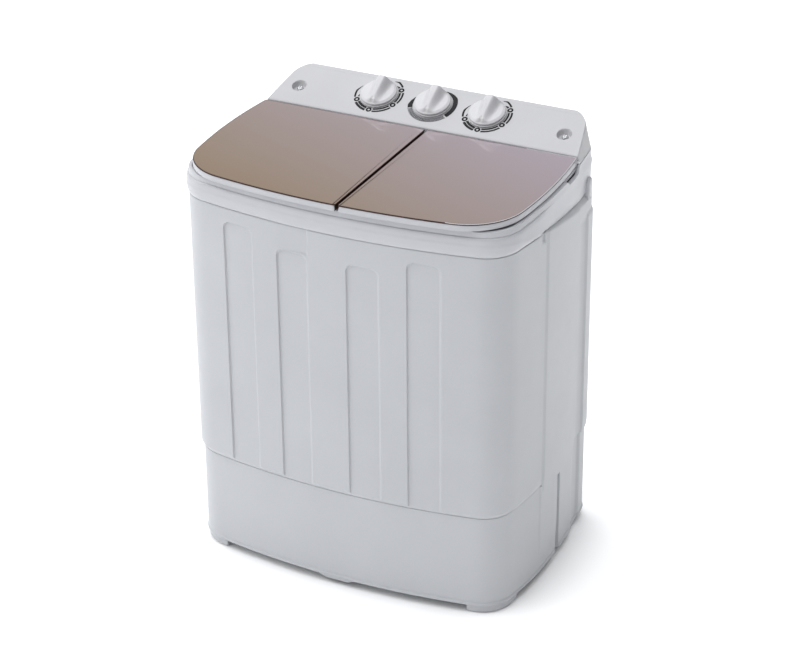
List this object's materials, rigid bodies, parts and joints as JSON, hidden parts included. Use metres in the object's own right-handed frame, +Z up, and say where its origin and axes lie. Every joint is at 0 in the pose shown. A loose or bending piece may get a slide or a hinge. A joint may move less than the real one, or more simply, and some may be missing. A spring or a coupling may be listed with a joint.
{
  "type": "top load washing machine",
  "caption": "Portable twin-tub top-load washing machine: bowed white cabinet, tinted lift-up wash and spin lids, sloping rear console with rotary knobs.",
  "frame": {"origin": "on the floor under the middle of the machine, with the feet's resting faces at Z = 0", "axes": "+Z up, +Y towards the back, +X towards the user's right hand at the front"},
  "size_m": [0.589, 0.412, 0.7436],
  "materials": {
    "white_shell": "satin moulded polypropylene, very fine grain",
    "white_top": "smooth semi-gloss ABS",
    "base_plastic": "satin moulded polypropylene",
    "lid_tint": "high gloss tinted acrylic sheet, almost opaque",
    "knob_gloss": "polished white ABS",
    "tub_plastic": "smooth moulded polypropylene",
    "blue_plastic": "satin moulded polypropylene",
    "steel": "turned bright steel",
    "zinc_plate": "zinc-plated pressed steel",
    "cast_alloy": "die-cast alloy, lightly sanded",
    "motor_paint": "dark semi-matt motor enamel",
    "rubber_black": "moulded rubber, matt",
    "black_plastic": "black glass-filled nylon"
  },
  "bodies": {
    "cabinet": {"cabinet_shell": "white_shell", "base_skirt": "white_shell", "base_plate": "base_plastic", "foot_front_left": "base_plastic", "foot_front_right": "base_plastic", "foot_rear_left": "base_plastic", "foot_rear_right": "base_plastic", "rear_service_cover": "white_shell", "top_deck": "white_top", "wash_hinge_pin_outer": "steel", "middle_hinge_pin": "steel", "spin_hinge_pin_outer": "steel", "console_panel": "white_top", "console_back_cover": "white_top", "power_cord_gland": "rubber_black", "wash_timer": "black_plastic", "selector_switch": "black_plastic", "spin_timer": "black_plastic", "panel_screw_left": "steel", "panel_screw_right": "steel", "wash_tub": "tub_plastic", "bearing_housing": "cast_alloy", "drive_bracket": "zinc_plate", "drive_belt": "rubber_black", "wash_motor": "motor_paint", "wash_motor_stand": "zinc_plate", "lint_channel": "tub_plastic", "spin_outer_tub": "tub_plastic", "shaft_boot": "rubber_black", "spin_motor": "motor_paint", "damper_front": "rubber_black", "damper_left": "rubber_black", "damper_right": "rubber_black", "drain_valve_body": "black_plastic", "drain_outlet_spigot": "base_plastic", "capacitor": "black_plastic", "wash_drain_pipe": "rubber_black", "spin_drain_pipe": "rubber_black"},
    "wash_lid": {"wash_lid_tray": "white_top", "wash_lid_window": "lid_tint"},
    "spin_lid": {"spin_lid_tray": "white_top", "spin_lid_window": "lid_tint"},
    "spin_inner_lid": {"spin_inner_lid": "blue_plastic"},
    "wash_timer_knob": {"wash_knob": "knob_gloss", "wash_control_shaft": "black_plastic"},
    "selector_knob": {"selector_knob": "knob_gloss", "selector_control_shaft": "black_plastic"},
    "spin_timer_knob": {"spin_knob": "knob_gloss", "spin_control_shaft": "black_plastic"},
    "pulsator": {"pulsator": "blue_plastic", "pulsator_shaft": "steel", "drive_pulley": "cast_alloy"},
    "wash_rotor": {"motor_pulley": "cast_alloy", "wash_motor_shaft": "steel"},
    "spin_rotor": {"spin_basket": "blue_plastic", "spin_shaft": "steel", "brake_drum": "cast_alloy"},
    "brake_lever": {"brake_lever": "zinc_plate"},
    "lint_filter": {"lint_filter": "blue_plastic"},
    "drain_valve_plug": {"drain_valve_plug": "rubber_black"}
  },
  "joints": [
    {"name": "wash_lid_hinge", "type": "hinge", "parent": "cabinet", "child": "wash_lid", "pos_m": [-0.135, 0.106, 0.6875], "axis": [-1, 0, 0], "range_deg": [0, 95]},
    {"name": "spin_lid_hinge", "type": "hinge", "parent": "cabinet", "child": "spin_lid", "pos_m": [0.152, 0.106, 0.6875], "axis": [-1, 0, 0], "range_deg": [0, 95]},
    {"name": "spin_inner_lid_hinge", "type": "hinge", "parent": "cabinet", "child": "spin_inner_lid", "pos_m": [0.152, 0.088, 0.6824], "axis": [-1, 0, 0], "range_deg": [0, 81]},
    {"name": "wash_timer_turn", "type": "hinge", "parent": "cabinet", "child": "wash_timer_knob", "pos_m": [-0.0955, 0.16467, 0.71443], "axis": [0, 0.3746, -0.9272], "range_deg": [0, 300]},
    {"name": "selector_turn", "type": "hinge", "parent": "cabinet", "child": "selector_knob", "pos_m": [0.0015, 0.16467, 0.71443], "axis": [0, 0.3746, -0.9272], "range_deg": [0, 120]},
    {"name": "spin_timer_turn", "type": "hinge", "parent": "cabinet", "child": "spin_timer_knob", "pos_m": [0.0985, 0.16467, 0.71443], "axis": [0, 0.3746, -0.9272], "range_deg": [0, 300]},
    {"name": "pulsator_spin", "type": "hinge", "parent": "cabinet", "child": "pulsator", "pos_m": [-0.124, -0.034, 0.2], "axis": [0, 0, 1], "continuous": true},
    {"name": "wash_motor_spin", "type": "hinge", "parent": "cabinet", "child": "wash_rotor", "pos_m": [-0.124, 0.086, 0.15], "axis": [0, 0, 1], "continuous": true},
    {"name": "spin_basket_spin", "type": "hinge", "parent": "cabinet", "child": "spin_rotor", "pos_m": [0.152, -0.04, 0.2], "axis": [0, 0, 1], "continuous": true},
    {"name": "brake_lever_turn", "type": "hinge", "parent": "cabinet", "child": "brake_lever", "pos_m": [0.23, -0.07, 0.139], "axis": [0, 0, 1], "range_deg": [0, 7.1]},
    {"name": "lint_filter_slide", "type": "slide", "parent": "cabinet", "child": "lint_filter", "axis": [0, 0, 1], "range_m": [0, 0.085]},
    {"name": "drain_valve_lift", "type": "slide", "parent": "cabinet", "child": "drain_valve_plug", "axis": [0, 0, 1], "range_m": [0, 0.0125]}
  ],
  "couplings": [
    {"joint": "spin_inner_lid_hinge", "follows": "spin_lid_hinge", "ratio": 0.85},
    {"joint": "brake_lever_turn", "follows": "spin_lid_hinge", "ratio": 0.073684},
    {"joint": "wash_motor_spin", "follows": "pulsator_spin", "ratio": 4},
    {"joint": "drain_valve_lift", "follows": "selector_turn", "m_per_rad": 0.00573}
  ]
}
